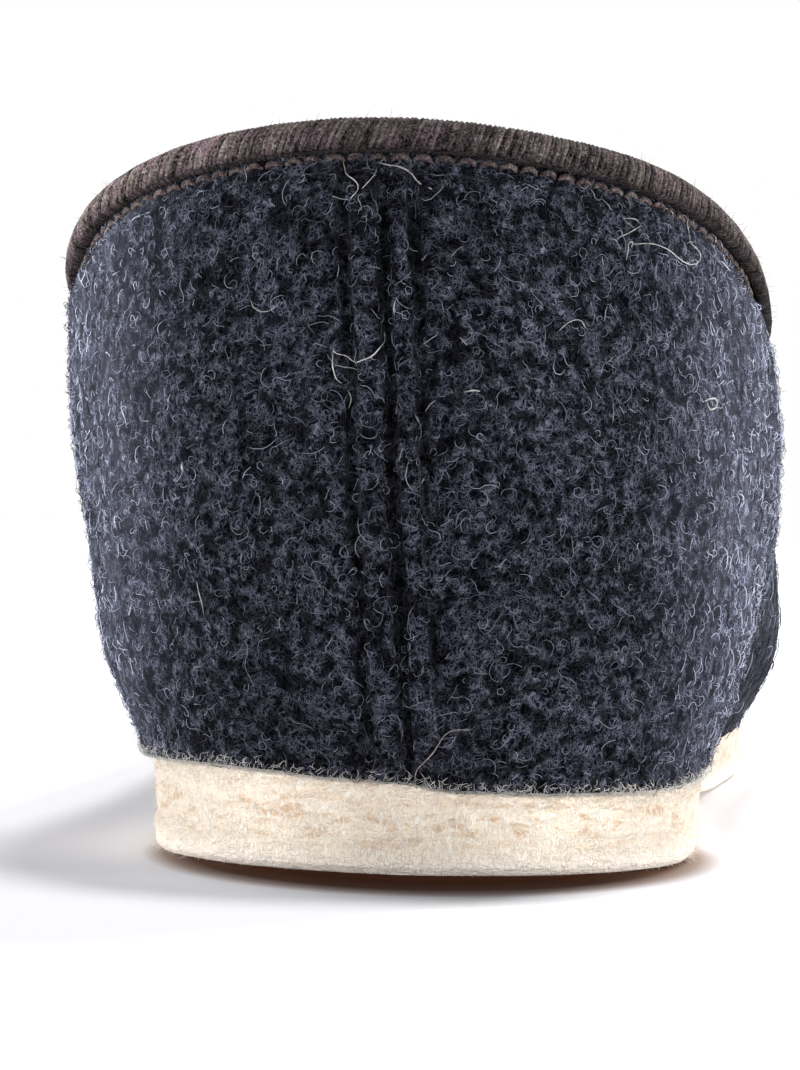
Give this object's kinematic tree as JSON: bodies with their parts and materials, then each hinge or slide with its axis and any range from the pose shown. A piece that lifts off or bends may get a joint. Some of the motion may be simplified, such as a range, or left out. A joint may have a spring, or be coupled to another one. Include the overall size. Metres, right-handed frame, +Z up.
{
  "type": "felt slipper",
  "caption": "Closed-heel house slipper of thick felt, with a soft felt sole, a raised seam up the heel and a ribbed binding round the collar.",
  "frame": {"origin": "on the floor under the middle of the heel, on the sole's flat heel", "axes": "+Y towards the toe, +Z up, +X towards the wearer's outer side"},
  "size_m": [0.0891, 0.2698, 0.0817],
  "materials": {
    "sole_felt": "thick pressed wool felt, cream, with a fuzzy edge",
    "insole_felt": "pressed wool felt, cream",
    "upper_felt": "boiled wool felt, dark navy grey, curly nap with pale fibres",
    "binding_knit": "brown grey ribbed knit"
  },
  "bodies": {
    "root": {"outsole": "sole_felt", "insole": "insole_felt", "upper": "upper_felt", "collar_binding": "binding_knit"}
  },
  "joints": []
}
